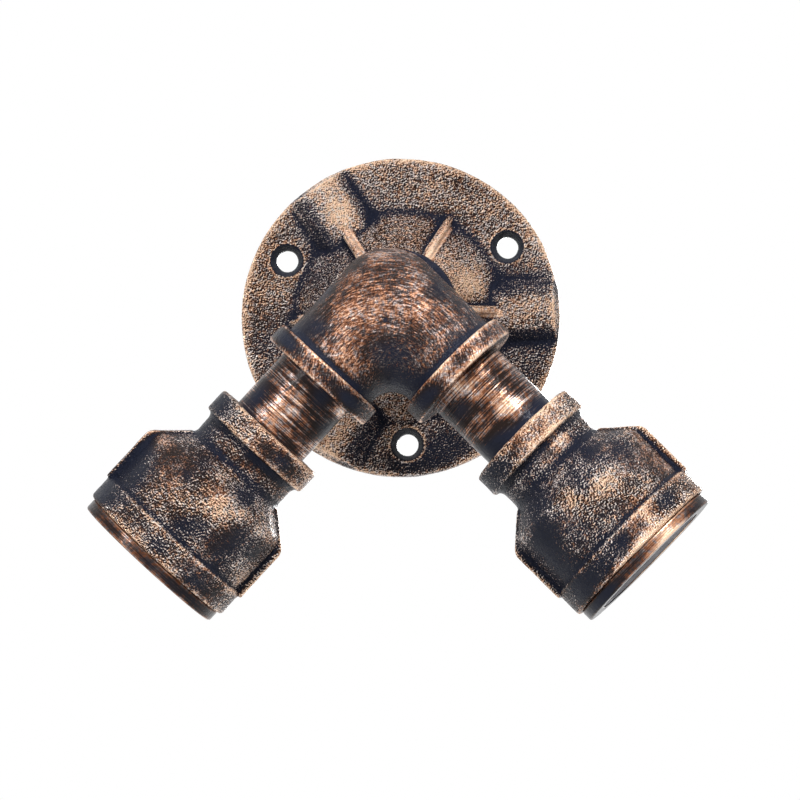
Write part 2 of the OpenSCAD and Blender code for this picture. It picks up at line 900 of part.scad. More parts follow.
// The leads of one kind leave the rear nipple together, turn half round for the other kind
function rear_points(side, kind) =
    let (s = side*kind, off = s*lead_pair)
    [for (p = [
        [s*lead_off, lead_off - elbow_out + elbow_reach/2, -lead_off],
        [s*lead_off, -hub_out, -lead_off],
        [s*lead_off, -boss_back - lead_off/2, -lead_off - lead_r/2],
        [s*lead_off + lead_r, -lead_d*1.3, -pipe_r + lead_off],
        [s*lead_off + lead_off, -lead_d*1.3, -pipe_r - lead_off + off],
        [splice_x/2 + lead_off, -lead_d*1.4, -dome_inner_at(0)*2/3 + off],
        [splice_x - lead_off/2 - off/2, -splice_out + lead_r, -splice_len + off],
        [splice_x - off, -splice_out, -splice_len/2 - lead_tip]
    ]) [kind*p[0], p[1], kind*p[2]]];

function lead_points(side, kind) =
    let (
        back = holder_face(side) - holder_len - terminal_t,
        y = kind*terminal_y
    )
    concat(
        [for (p = [
            [term_head_r + lead_r, y, back - lead_r - seat_gap],
            [term_head_r + lead_r, y - kind*lead_off, back - lead_d*1.5],
            [lead_r, kind*lead_off, reducer_start(side) + thread_depth - lead_d],
            [0, kind*lead_off, reducer_start(side)],
            [0, kind*lead_off, elbow_reach],
            [0, kind*lead_off, elbow_reach/2]
        ]) arm_point(side, p)],
        [let (p = arm_point(side, [0, kind*lead_off, elbow_reach/4])) [p[0], p[1] + lead_r, p[2]]],
        rear_points(side, kind)
    );

// Both ends run straight into what holds them
function lead_route(side, kind) =
    let (
        p = lead_points(side, kind),
        n = len(p),
        start = arm_point(side, [
            term_head_r + lead_r, kind*(terminal_y + lead_tip),
            holder_face(side) - holder_len - terminal_t - lead_r - seat_gap
        ]),
        end = [p[n - 1][0], p[n - 1][1], -kind*splice_len/2]
    )
    concat([start], smooth(p, lead_steps), [end]);

module lead(side, kind) {
    color(kind == live ? lead_black : lead_white)
        tube(lead_route(side, kind), lead_r, lead_sides);
}

module splice(kind) {
    color(kind == live ? lead_black : lead_white)
        translate([kind*splice_x, -splice_out, -kind*splice_len/2])
            rotate([kind == live ? 0 : 180, 0, 0])
                bead(splice_r, 0, splice_len, splice_round);
}

module earth_place(z) {
    off_wall()
        translate([earth_x, earth_z, z])
            children();
}

module earth_screw() {
    head_top = earth_seat - washer_t;
    color(earth_green)
        earth_place(0)
            difference() {
                union() {
                    bore(earth_screw_d/2, head_top - seat_gap, earth_seat + earth_shank - seat_gap);
                    bore(earth_head_r, head_top - earth_head_t, head_top);
                }
                translate([-earth_head_r - cut, -earth_slot_w/2, head_top - earth_head_t - cut])
                    cube([2*(earth_head_r + cut), earth_slot_w, earth_slot_depth + cut]);
            }
}

module earth_washer() {
    color(brass)
        earth_place(earth_seat - washer_t)
            difference() {
                cylinder(r = earth_boss_r, h = washer_t);
                bore(earth_hole_r, -cut, washer_t + cut);
            }
}

wall_flange();
rear_nipple();
side_outlet_elbow();
arm_nipple(left);  // left_arm_nipple
arm_nipple(right);  // right_arm_nipple
reducer(left);  // left_reducer
reducer(right);  // right_reducer
lamp_ring(left);  // left_lamp_ring
lamp_ring(right);  // right_lamp_ring
snap_ring(left);  // left_snap_ring
snap_ring(right);  // right_snap_ring
holder_body(left);  // left_holder_body
holder_body(right);  // right_holder_body
screw_shell(left);  // left_screw_shell
screw_shell(right);  // right_screw_shell
contact_leaf(left);  // left_contact_leaf
contact_leaf(right);  // right_contact_leaf
contact_strap(left);  // left_contact_strap
contact_strap(right);  // right_contact_strap
terminal_plate(left, neutral, -rivet_x);  // left_shell_terminal
terminal_plate(right, neutral, -rivet_x);  // right_shell_terminal
terminal_plate(left, live, strap_rivet_x);  // left_live_terminal
terminal_plate(right, live, strap_rivet_x);  // right_live_terminal
shell_rivets(left);  // left_shell_rivets
shell_rivets(right);  // right_shell_rivets
terminal_screws(left);  // left_terminal_screws
terminal_screws(right);  // right_terminal_screws
lead(left, live);  // left_live_lead
lead(right, live);  // right_live_lead
lead(left, neutral);  // left_neutral_lead
lead(right, neutral);  // right_neutral_lead
splice(live);  // live_splice
splice(neutral);  // neutral_splice
earth_screw();
earth_washer();
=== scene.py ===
# Twin wall light of cast pipe fittings in antique bronze. Metres, in the row's frame.
import json
import math

import bmesh
import bpy
import numpy as np
from mathutils import Matrix, Vector


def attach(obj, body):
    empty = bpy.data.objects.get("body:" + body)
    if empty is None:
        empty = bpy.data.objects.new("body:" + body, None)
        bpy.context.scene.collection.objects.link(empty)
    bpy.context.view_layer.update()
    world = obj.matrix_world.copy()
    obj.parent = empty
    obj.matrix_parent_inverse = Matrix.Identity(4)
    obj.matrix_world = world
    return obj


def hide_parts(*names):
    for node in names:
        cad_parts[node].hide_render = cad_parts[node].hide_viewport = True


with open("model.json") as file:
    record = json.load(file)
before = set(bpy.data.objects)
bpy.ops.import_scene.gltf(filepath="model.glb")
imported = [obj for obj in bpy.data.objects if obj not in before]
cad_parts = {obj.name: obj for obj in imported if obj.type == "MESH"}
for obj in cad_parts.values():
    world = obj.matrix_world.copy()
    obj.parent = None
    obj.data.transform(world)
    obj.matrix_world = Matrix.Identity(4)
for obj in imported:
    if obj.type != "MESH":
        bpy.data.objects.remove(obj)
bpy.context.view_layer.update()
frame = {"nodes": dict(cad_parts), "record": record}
mounts = {m["name"]: m for m in frame["record"]["mounts"]}
MM = 0.001
SIDES = ("left", "right")

# The arms: each one's local Z runs out from the elbow's centre
ELBOW = Vector((0, mounts["lamp_socket_left"]["pos_m"][1], 0))
ARM_TURN = {
    s: math.atan2(mounts[f"lamp_socket_{s}"]["axis"][0], mounts[f"lamp_socket_{s}"]["axis"][2])
    for s in SIDES
}
ARM = {s: Matrix.Translation(ELBOW) @ Matrix.Rotation(ARM_TURN[s], 4, "Y") for s in SIDES}

# The flange's screw holes
SCREWS = mounts["wall_screws"]["dims"]
SCREW_TURN = math.radians(32)
SCREW_PLACES = [
    Vector((
        math.cos(SCREW_TURN + i * math.tau / SCREWS["count"]),
        0,
        math.sin(SCREW_TURN + i * math.tau / SCREWS["count"]),
    )) * SCREWS["pcd_mm"] / 2 * MM
    for i in range(SCREWS["count"])
]


# Mesh helpers

def add(name, mesh, body="frame"):
    piece = bpy.data.objects.new(name, mesh)
    bpy.context.scene.collection.objects.link(piece)
    mesh.polygons.foreach_set("use_smooth", [True] * len(mesh.polygons))
    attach(piece, body)
    return piece


def values(mesh, name, data):
    """Keeps one number per vertex for a material to read."""
    mesh.attributes.new(name, "FLOAT", "POINT").data.foreach_set("value", data.astype(np.float32))


# Large odd numbers that spread a cell's place and its seed over all 32 bits
CELL_FACTORS = np.array([73856093, 19349663, 83492791])
BIT_MIXES = ((15, 0x9E3779B1), (13, 0x85EBCA77), (16, 0xC2B2AE35))
SEED_SHIFT = 17.3


def smooth_noise(points, wave, seed):
    """Random values from -1 to 1 that change over about one wave."""
    p = points / wave + seed * SEED_SHIFT
    cell = np.floor(p).astype(np.int64)
    t = p - cell
    t = t * t * (3 - 2 * t)
    total = np.zeros(len(points))
    for corner in range(8):
        d = np.array([corner & 1, corner >> 1 & 1, corner >> 2])
        h = (cell + d) @ CELL_FACTORS & 0xFFFFFFFF
        for shift, step in BIT_MIXES:
            h = (h ^ h >> shift) * step & 0xFFFFFFFF
        total += (h / 2**31 - 1) * np.prod(np.where(d == 1, t, 1 - t), axis=1)
    return total


class Skin:
    """A dense copy of a CAD node's mesh that can be smoothed and worked like a casting."""

    def __init__(self, node, voxel):
        bm = bmesh.new()
        bm.from_mesh(frame["nodes"][node].data)
        bmesh.ops.remove_doubles(bm, verts=bm.verts, dist=1e-6)
        welded = bpy.data.meshes.new("welded")
        bm.to_mesh(welded)
        bm.free()
        rough = bpy.data.objects.new("rough", welded)
        bpy.context.scene.collection.objects.link(rough)
        remesh = rough.modifiers.new("Voxels", "REMESH")
        remesh.mode = "VOXEL"
        remesh.voxel_size = voxel
        graph = bpy.context.evaluated_depsgraph_get()
        self.mesh = bpy.data.meshes.new_from_object(rough.evaluated_get(graph), depsgraph=graph)
        bpy.data.objects.remove(rough)
        n = len(self.mesh.vertices)
        self.co = np.empty(n * 3)
        self.mesh.vertices.foreach_get("co", self.co)
        self.co = self.co.reshape(-1, 3)
        edges = np.empty(len(self.mesh.edges) * 2, np.int64)
        self.mesh.edges.foreach_get("vertices", edges)
        self.edges = edges.reshape(-1, 2)
        box = np.array([v.co for v in welded.vertices])
        self.low, self.high = box.min(0), box.max(0)
        self.degree = np.bincount(self.edges.ravel(), minlength=n)[:, None]

    def around(self, v):
        """Mean of the neighbours' values."""
        a, b = self.edges.T
        total = [
            np.bincount(a, v[b, k], len(v)) + np.bincount(b, v[a, k], len(v))
            for k in range(v.shape[1])
        ]
        return np.stack(total, 1) / self.degree

    def diffused(self, v, rounds):
        for _ in range(rounds):
            v = 0.1 * v + 0.9 * self.around(v)
        return v

    def relax(self, rounds):
        """Smooths edges without shrinking the piece: in and back out in each round."""
        for _ in range(rounds):
            for step in (0.5, -0.52):
                self.co = self.co + step * (self.around(self.co) - self.co)

    def write(self):
        self.mesh.vertices.foreach_set("co", self.co.ravel())
        self.mesh.update()

    def normals(self):
        self.write()
        n = np.empty(self.co.size)
        self.mesh.vertices.foreach_get("normal", n)
        return n.reshape(-1, 3)

    def bulge(self, rounds):
        """How far each point stands out from the smoothed surface, in mm: hollows are negative."""
        return np.sum((self.co - self.diffused(self.co, rounds)) * self.normals(), 1) / MM

    def push(self, height):
        """Moves the surface out along its normals, but not out of the CAD node's box."""
        self.co = np.clip(self.co + self.normals() * height[:, None], self.low, self.high)


def ramp(v, low, high):
    """0 below low, 1 above high, smooth between them."""
    t = np.clip((v - low) / (high - low), 0, 1)
    return t * t * (3 - 2 * t)


# Bronze brushed out or left dark on the front, partly worn bronze and partly painted highlights
# and painted shade, seen along the camera's line of sight: across, up, radius in mm and the amount
WEAR_AND_PAINTED_LIGHT_TOUCHES = {
    "wall_flange": (
        (-19, 35, 7, 0.39), (-18, 44, 6, 0.20), (-4, 40, 7, 0.16), (22, 12, 6, 0.39),
        (-44, -5, 10, -0.29), (-29, 13, 6, -0.33), (2, -45, 9, -0.36), (15, -43, 9, -0.38),
        (49, 14, 4, -0.20), (41, 6, 5, 0.24), (47, -8, 6, -0.30), (23, 44, 5, -0.20),
        (42, 24, 6, 0.13), (29, 24, 5, 0.16), (22, 8, 4, 0.20),
    ),
    "side_outlet_elbow": (
        (-3, 14, 6, -0.12), (-36, -6, 6, -0.52), (-17, -26, 5, -0.46), (-23, -19, 4, -0.26),
        (-28, -1, 5, -0.35), (-17, -6, 5, 0.18), (-25, 9, 5, -0.59), (-13, 17, 5, -0.25),
        (-24, -4, 4, -0.22), (-17, -14, 5, 0.35), (-2, -13, 7, -0.22), (4, 1, 5, 0.16),
        (9, -1, 4, 0.20), (11, 7, 4, -0.22), (17, -14, 4, -0.30), (2, -23, 6, -0.35),
        (15, -27, 5, -0.52), (9, -26, 5, -0.39), (9, -33, 5, -0.40), (22, -14, 5, 0.20),
        (28, -4, 5, 0.10),
    ),
    "left_reducer": (
        (-56, -25, 5, -0.65), (-62, -31, 5, -0.70), (-69, -41, 5, -0.33), (-62, -45, 5, -0.30),
        (-49, -55, 4, -0.60), (-63, -64, 4, -0.35), (-82, -43, 6, -0.75), (-88, -50, 6, -0.46),
        (-95, -53, 6, -0.52), (-37, -45, 4, -0.33), (-76, -69, 4, -0.33), (-66, -82, 5, -0.26),
        (-69, -63, 4, -0.33), (-66, -48, 4, -0.30), (-57, -76, 5, -0.12), (-50, -70, 5, -0.22),
        (-50, -83, 5, 0.35), (-89, -63, 5, 0.30), (-57, -58, 5, 0.50), (-50, -60, 3, 0.20),
    ),
    "right_reducer": (
        (61, -53, 5, 0.62), (51, -58, 4, 0.45), (72, -60, 5, 0.50), (53, -52, 4, -0.45),
        (61, -73, 5, -0.30), (71, -72, 4, 0.30), (52, -67, 4, -0.25), (81, -70, 5, 0.65),
        (77, -76, 5, 0.45), (84, -66, 4, 0.35), (40, -60, 5, -0.55), (40, -72, 6, -0.50),
        (48, -79, 6, -0.50), (54, -87, 6, -0.50), (59, -47, 4, -0.39), (53, -40, 4, -0.30),
        (66, -41, 4, -0.33), (79, -59, 4, -0.45), (65, -72, 4, -0.39), (59, -79, 4, -0.39),
        (65, -92, 5, -0.35), (47, -40, 4, 0.46), (27, -52, 6, -0.75),
    ),
    "left_arm_nipple": (
        (-40, -28, 6, 0.26), (-32, -25, 4, 0.16), (-49, -35, 4, -0.39), (-26, -26, 3, -0.20),
        (-24, -34, 4, -0.40), (-45, -25, 4, -0.26), (-37, -40, 5, -0.20),
    ),
    "right_arm_nipple": (
        (40, -35, 6, -0.65), (46, -28, 4, -0.50), (34, -32, 4, 0.25), (32, -41, 5, -0.33),
        (28, -44, 5, -0.60), (18, -30, 5, -0.39), (23, -19, 5, 0.20),
    ),
    "right_lamp_ring": ((82, -72, 7, 0.75), (64, -92, 6, -0.70), (90, -64, 4, -0.40)),
    "left_lamp_ring": ((-96, -74, 6, 0.25), (-74, -99, 6, 0.30)),
}
# Shift across and up for each mm along Y, when a point is seen against the wall plane
SIGHT_SLOPE = (0.069, -0.068)
# How squarely a face looks to the front where the touches begin and where they are full
FRONT_FACING = (-0.1, 0.2)

# Rounds of smoothing that show up edges, small forms and wide forms
EDGE_ROUNDS, SMALL_ROUNDS, WIDE_ROUNDS = 2, 14, 90
# Their worn bronze: its share, and the mm out or back from the smoothed surface where it begins
# and is full
EDGE_OUT = (0.34, 0.035, 0.075)
SMALL_OUT, SMALL_BACK = (0.10, 0.05, 0.30), (0.30, 0.03, 0.25)
WIDE_OUT, WIDE_BACK = (0.24, 0.05, 0.80), (0.48, 0.03, 0.60)
# Worn edges are broken up in this wave and keep at least this share
BROKEN_WAVE = 2.6 * MM
BROKEN_LEAST = 0.35
# Unevenness of a cast surface as (wave, height in mm), and how many mm lower it lies
UNEVEN = ((9 * MM, 0.10), (3.1 * MM, 0.07))
LOWERED = 0.05


def worn(bulge, form):
    share, low, high = form
    return share * ramp(bulge, low, high)


def casting(name, node, seed, voxel=0.42 * MM, rounds=3, rough=1.0, grit=(0.62, 0.05, 0.05),
            special=None):
    """Cast skin with two values per vertex: worn bronze with painted light and shade adds bronze,
    calm takes grain away. Grit is the grains' size and height in mm and their share in the first."""
    skin = Skin(node, voxel)
    skin.relax(rounds)
    edge = skin.bulge(EDGE_ROUNDS)
    small = skin.bulge(SMALL_ROUNDS)
    wide = skin.bulge(WIDE_ROUNDS)
    broken = 0.5 + 0.5 * smooth_noise(skin.co, BROKEN_WAVE, seed + 5)
    wear_and_painted_light = worn(edge, EDGE_OUT) * (BROKEN_LEAST + broken)
    wear_and_painted_light -= worn(-small, SMALL_BACK) + worn(-wide, WIDE_BACK)
    wear_and_painted_light += worn(small, SMALL_OUT) + worn(wide, WIDE_OUT)
    seen = skin.co[:, [0, 2]] / MM + skin.co[:, 1:2] / MM * SIGHT_SLOPE
    front = ramp(-skin.normals()[:, 1], *FRONT_FACING)
    # Touches add bronze on the front faces and take it away: partly worn bronze, partly painted
    # highlights and painted shade
    for across, up, radius, amount in WEAR_AND_PAINTED_LIGHT_TOUCHES.get(node, ()):
        away = np.linalg.norm(seen - (across, up), axis=1) / radius
        wear_and_painted_light += amount * front * np.exp(-away ** 2)
    calm = np.zeros(len(wear_and_painted_light))
    if special:
        wear_and_painted_light, calm = special(skin, wear_and_painted_light)
    uneven = sum(
        height * smooth_noise(skin.co, wave, seed + k) for k, (wave, height) in enumerate(UNEVEN)
    )
    grain_size, grain_height, grain_share = grit
    grains = smooth_noise(skin.co, grain_size * MM, seed + 2)
    wear_and_painted_light += grain_share * grains * (1 - calm)
    skin.push(((uneven - LOWERED) * rough + grain_height * grains) * (1 - calm) * MM)
    skin.write()
    values(skin.mesh, "wear_and_painted_light", wear_and_painted_light)
    values(skin.mesh, "calm", calm)
    piece = add(name, skin.mesh)
    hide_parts(node)
    return piece


def beside(flat, count):
    """Distance along and across the nearest of some spokes, the first one along X, in mm."""
    turn = np.round(np.arctan2(flat[:, 2], flat[:, 0]) / math.tau * count) / count * math.tau
    along = flat[:, 0] * np.cos(turn) + flat[:, 2] * np.sin(turn)
    across = np.abs(flat[:, 2] * np.cos(turn) - flat[:, 0] * np.sin(turn))
    return along / MM, across / MM


# Marks on the flange in mm, each pair from where a change begins to where it is full:
# out from a screw hole's centre, then along and across a ridge, then along and across a rib
SINK_BLACK, SINK_CLEAR = (5.0, 5.3), (5.6, 6.6)
LIP_R, LIP_WIDTH = 5.65, 0.3
RIDGES, RIDGE_STARTS = 3, (27, 31)
CROWN_HIGHLIGHT_ENDS, FLANK_SHADE_STARTS, FLANK_SHADE_ENDS = (1, 6), (4.5, 7.5), (9.5, 11.5)
RIBS, RIB_STARTS, RIB_ENDS = 6, (12, 14), (32, 34)
RIB_HIGHLIGHT_ENDS, RIB_SIDE_ENDS = (1.0, 1.5), (1.3, 1.9)


def flange_marks(skin, wear_and_painted_light):
    """Black countersinks with a bright lip, ridges with a painted highlight on the crowns and
    painted shade on the flanks, and ribs brushed smooth with a painted highlight along their tops.
    """
    flat = skin.co * [1, 0, 1]
    off = np.min([np.linalg.norm(flat - np.array(p), axis=1) for p in SCREW_PLACES], axis=0) / MM
    wear_and_painted_light = wear_and_painted_light * ramp(off, *SINK_CLEAR)
    wear_and_painted_light -= 1.5 * (1 - ramp(off, *SINK_BLACK))
    wear_and_painted_light += 0.40 * np.exp(-((off - LIP_R) / LIP_WIDTH) ** 2)
    along, across = beside(flat, RIDGES)
    # Crowns brighter, partly worn bronze and partly painted highlight; flanks darker as painted
    # shade
    crown_highlight = 1 - ramp(across, *CROWN_HIGHLIGHT_ENDS)
    flank_shade = ramp(across, *FLANK_SHADE_STARTS) * (1 - ramp(across, *FLANK_SHADE_ENDS))
    wear_and_painted_light += ramp(along, *RIDGE_STARTS) * (0.20 * crown_highlight - 0.34 * flank_shade)
    along, across = beside(flat, RIBS)
    rib = 1 - ramp(across, *RIB_SIDE_ENDS)
    rib *= ramp(along, *RIB_STARTS) * (1 - ramp(along, *RIB_ENDS))
    # The ribs' bronze is rubbed smooth, and brighter along their tops as a painted highlight
    rib_wear_and_highlight = 0.38 - 0.30 * ramp(across, *RIB_HIGHLIGHT_ENDS)
    return wear_and_painted_light * (1 - rib) + rib_wear_and_highlight * rib, 0.75 * rib


# Where the elbow's rear bead begins along Y, and the height above which it stays dark, in mm
REAR_BEAD_Y, ABOVE_ARMS_Z = (-32, -29), (0, 3)


def elbow_marks(skin, wear_and_painted_light):
    """Darkens the rear bead above the arms."""
    at = skin.co / MM
    hidden = ramp(at[:, 1], *REAR_BEAD_Y) * ramp(at[:, 2], *ABOVE_ARMS_Z)
    return wear_and_painted_light - 0.9 * hidden, np.zeros(len(wear_and_painted_light))


# How far from its ends in mm a rolled thread begins to fade, and where it is gone
THREAD_FADES, THREAD_GONE = 2, 0.5


def rolled_thread(side, pitch=3.63, depth=0.33, sheet=0.25, clear=0.06, turns=96, rows=72):
    """Rolled lamp thread that lines the plain bore of a screw shell, in mm."""
    mount = mounts[f"lamp_socket_{side}"]
    dims = mount["dims"]
    middle = (ARM[side].inverted() @ Vector(mount["pos_m"])).z / MM
    end = dims["length_mm"] / 2
    angle = np.repeat(np.arange(turns) * math.tau / turns, rows)
    z = np.tile(np.linspace(-0.5, 0.5, rows) * (dims["length_mm"] - 4 * clear), turns)
    ends = 1 - ramp(np.abs(z), end - THREAD_FADES, end - THREAD_GONE)
    wave = depth * (np.sin(z / pitch * math.tau - angle) * ends - 1)
    outer = dims["r_mm"] - clear + wave * ends
    co = np.concatenate([
        np.stack([r * np.cos(angle), r * np.sin(angle), z + middle], 1)
        for r in (outer, outer - sheet)
    ]) * MM
    faces = []
    half = turns * rows
    for i in range(turns):
        a, b = i * rows, (i + 1) % turns * rows
        for j in range(rows - 1):
            faces.append((a + j, b + j, b + j + 1, a + j + 1))
            faces.append((half + a + j, half + a + j + 1, half + b + j + 1, half + b + j))
        faces.append((a, half + a, half + b, b))
        faces.append((a + rows - 1, b + rows - 1, half + b + rows - 1, half + a + rows - 1))
    mesh = bpy.data.meshes.new(f"{side}_lamp_thread")
    mesh.from_pydata([ARM[side] @ Vector(p) for p in co], [], faces)
    return add(f"{side}_lamp_thread", mesh)


# Material helpers

# The radius that turns an angle of the elbow's bend into a length
BEND_R = 0.03


class Shader:
    """One material's nodes, built from left to right."""

    def __init__(self, name, **constants):
        self.material = bpy.data.materials.new(name)
        self.material.use_nodes = True
        self.tree = self.material.node_tree
        self.tree.nodes.clear()
        self.surface = self.tree.nodes.new("ShaderNodeBsdfPrincipled")
        self.out = self.tree.nodes.new("ShaderNodeOutputMaterial")
        self.tree.links.new(self.surface.outputs[0], self.out.inputs[0])
        for socket, value in constants.items():
            self.put(self.surface.inputs[socket.replace("_", " ")], value)

    def put(self, socket, value):
        if isinstance(value, bpy.types.NodeSocket):
            self.tree.links.new(value, socket)
        elif isinstance(value, tuple) and len(value) == 3 and socket.type == "RGBA":
            socket.default_value = (*value, 1)
        else:
            socket.default_value = value

    def node(self, kind, inputs, **settings):
        made = self.tree.nodes.new("ShaderNode" + kind)
        for key, value in settings.items():
            setattr(made, key, value)
        for key, value in inputs.items():
            self.put(made.inputs[key], value)
        return made

    def math(self, how, a, b):
        return self.node("Math", {0: a, 1: b}, operation=how).outputs[0]

    def total(self, *terms):
        """Sum of (value, share) pairs and plain numbers."""
        result = sum(t for t in terms if isinstance(t, float))
        for value, share in (t for t in terms if isinstance(t, tuple)):
            result = self.node(
                "Math", {0: value, 1: share, 2: result}, operation="MULTIPLY_ADD"
            ).outputs[0]
        return result

    def step(self, value, low, high):
        return self.node(
            "MapRange", {"Value": value, "From Min": low, "From Max": high},
            interpolation_type="SMOOTHSTEP",
        ).outputs[0]

    def mix(self, share, a, b):
        return self.node(
            "Mix", {"Factor": share, 6: a, 7: b}, data_type="RGBA"
        ).outputs[2]

    def value(self, name):
        return self.node("Attribute", {}, attribute_name=name).outputs["Fac"]

    def place(self, turn=0.0, centre=(0, 0, 0)):
        """Coordinates of an arm's own frame, or of the row's."""
        own = self.node("TexCoord", {}).outputs["Object"]
        return self.node(
            "Mapping", {"Vector": own, "Location": centre, "Rotation": (0, turn, 0)},
            vector_type="TEXTURE",
        ).outputs[0]

    def scaled(self, where, scale, shift=(0, 0, 0)):
        return self.node(
            "Mapping", {"Vector": where, "Scale": scale, "Location": shift}
        ).outputs[0]

    def noise(self, where, scale, detail=2.0, rough=0.5, distortion=0.0):
        return self.node("TexNoise", {
            "Vector": where, "Scale": scale, "Detail": detail,
            "Roughness": rough, "Distortion": distortion,
        }).outputs[0]

    def bent(self, where, centre):
        """Radius and arc about a line along Y, with Y kept: strokes can follow a bend."""
        part = self.node("SeparateXYZ", {0: where}).outputs
        x = self.total((part[0], 1.0), -centre[0])
        z = self.total((part[2], 1.0), -centre[1])
        spoke = self.node("CombineXYZ", {0: x, 2: z}).outputs[0]
        radius = self.node("VectorMath", {0: spoke}, operation="LENGTH").outputs["Value"]
        arc = self.total((self.math("ARCTAN2", x, z), BEND_R))
        return self.node("CombineXYZ", {0: radius, 1: arc, 2: part[1]}).outputs[0]

    def one_sided(self):
        """Clear from the back."""
        clear = self.node("BsdfTransparent", {}).outputs[0]
        back = self.node("NewGeometry", {}).outputs["Backfacing"]
        both = self.node("MixShader", {0: back, 1: self.surface.outputs[0], 2: clear}).outputs[0]
        self.put(self.out.inputs[0], both)

    def bump(self, height, depth):
        normal = self.node("Bump", {"Height": height, "Distance": depth}).outputs[0]
        self.put(self.surface.inputs["Normal"], normal)


BLUE_BLACK = (0.013, 0.016, 0.032)
BROWN_BLACK = (0.018, 0.010, 0.008)
# Each metal tone has a cool shade, partly lacquer that still veils it and partly a painted sheen
# of neutral glints, and a warm one where the bronze is uncovered
COPPER = ((0.060, 0.050, 0.052), (0.170, 0.060, 0.027))
BRONZE = ((0.27, 0.215, 0.205), (0.42, 0.200, 0.110))
PALE_BRONZE = ((0.93, 0.84, 0.80), (1.0, 0.71, 0.50))
# The tone where black turns to copper, copper to bronze and bronze to pale
TO_COPPER, TO_BRONZE, TO_PALE = (-0.26, -0.02), (-0.02, 0.13), (0.16, 0.52)
# Where blue black turns to brown black, and cool metal, with its painted sheen, to warm
TO_BROWN, TO_WARM = (0.25, 0.55), (0.60, 0.88)
TINT_SCALE = 800.0
# Zones that keep all their grain on a casting that is smooth elsewhere
ZONE_SCALE, ZONE_EDGE = 55.0, (0.38, 0.56)
# From one reading of the grain to the next: their difference shades each grain from above
GRAIN_STEP = (0.2 * MM, 0, -0.35 * MM)
GRAIN_HERE, GRAIN_THERE, GRAIN_MEAN = 1.5, -0.7, -0.4
# The most that calm takes away of the grain
CALMED = 0.95
# A material's noise starts at this place for each step of the seed
SEED_PLACE = (0.37, 0.61, 0.17)
LACQUER_SPECULAR, BRONZE_SPECULAR = 0.10, 0.25
LACQUER_METALLIC, BRONZE_METALLIC = 0.05, 0.55
LACQUER_ROUGH, BRONZE_ROUGH, FINE_ROUGH = 0.17, 0.05, 0.14


def antique(name, seed, place=(), grain=(2300.0, 2.4), patch=(75.0, 0.5), cloud=(30.0, 0.4),
            brush=((400, 400, 400), 0.2, 0.0), level=0.0, depth=1.2, smooth=0.0, bend=None):
    """Dark lacquer brushed back to bronze on the high places. Grain, patch and cloud are
    (scale, share), brush is (scales, share, height) and depth is the bump's height in mm.
    Smooth takes that share of the grain away between the grainy zones."""
    grain_scale, grain_share = grain
    patch_scale, patch_share = patch
    cloud_scale, cloud_share = cloud
    brush_scales, brush_share, brush_height = brush
    s = Shader(name)
    where = s.place(*place)
    moved = s.scaled(where, (1, 1, 1), tuple(seed * step for step in SEED_PLACE))
    grains = s.noise(moved, grain_scale, 1.0, 0.5, 0.3)
    below = s.noise(s.scaled(moved, (1, 1, 1), GRAIN_STEP), grain_scale, 1.0, 0.5, 0.3)
    fine = s.noise(moved, grain_scale * 2.1, 1.0, 0.5)
    patches = s.noise(moved, patch_scale, 3.0, 0.55)
    clouds = s.noise(moved, cloud_scale, 2.0, 0.5)
    stroke_way = s.bent(where, bend) if bend else moved
    strokes = s.noise(s.scaled(stroke_way, brush_scales), 1.0, 2.5, 0.6)
    wear_and_painted_light = s.value("wear_and_painted_light")
    grainy = s.step(s.noise(moved, ZONE_SCALE, 2.0), *ZONE_EDGE)
    by_zone = s.total(1.0 - smooth, (grainy, smooth))
    left_rough = s.math("MULTIPLY", by_zone, s.total(1.0, (s.value("calm"), -CALMED)))
    # Grain tone with painted shade: each grain lighter on its upper side and darker below, as if
    # lit from above
    grain_with_painted_shade = s.total(
        (grains, GRAIN_HERE * grain_share), (below, GRAIN_THERE * grain_share),
        GRAIN_MEAN * grain_share,
    )
    tone = s.total(
        (s.math("MULTIPLY", grain_with_painted_shade, left_rough), 1.0), (patches, patch_share),
        (clouds, cloud_share), (strokes, brush_share), (wear_and_painted_light, 1.0),
        level - 0.5 * (patch_share + cloud_share + brush_share),
    )
    brown = s.step(s.total((clouds, 1.0), (wear_and_painted_light, 0.8)), *TO_BROWN)
    under = s.mix(brown, BLUE_BLACK, BROWN_BLACK)
    tint = s.noise(moved, TINT_SCALE, 2.0, 0.6)
    # Warm uncovered bronze against the cool shades, which are partly painted sheen
    bare_vs_painted_sheen = s.step(s.total((tint, 1.0), (clouds, 0.4), (wear_and_painted_light, 0.35)), *TO_WARM)
    half = s.mix(s.step(tone, *TO_COPPER), under, s.mix(bare_vs_painted_sheen, *COPPER))
    metal = s.mix(s.step(tone, *TO_PALE), s.mix(bare_vs_painted_sheen, *BRONZE), s.mix(bare_vs_painted_sheen, *PALE_BRONZE))
    shown = s.step(tone, *TO_BRONZE)
    surface = s.surface.inputs
    s.put(surface["Base Color"], s.mix(shown, half, metal))
    s.put(surface["Specular IOR Level"], s.total(LACQUER_SPECULAR, (shown, BRONZE_SPECULAR)))
    s.put(surface["Metallic"], s.total(LACQUER_METALLIC, (shown, BRONZE_METALLIC)))
    s.put(surface["Roughness"], s.total(LACQUER_ROUGH, (fine, FINE_ROUGH), (shown, BRONZE_ROUGH)))
    kept_grain = s.math("MULTIPLY", grains, left_rough)
    s.bump(s.total((kept_grain, 1.0), (fine, 0.3), (strokes, brush_height)), depth * MM)
    return s.material


def dress(piece, material):
    piece.data.materials.clear()
    piece.data.materials.append(material)


# The castings

FLANGE_SEED, ELBOW_SEED, SOCKET_SEED, PIPE_SEED, RING_SEED = 1, 2, 3, 5, 7
NO_GRIT = (0.7, 0.0, 0.0)
ELBOW_BEND = (0.0, -0.025)

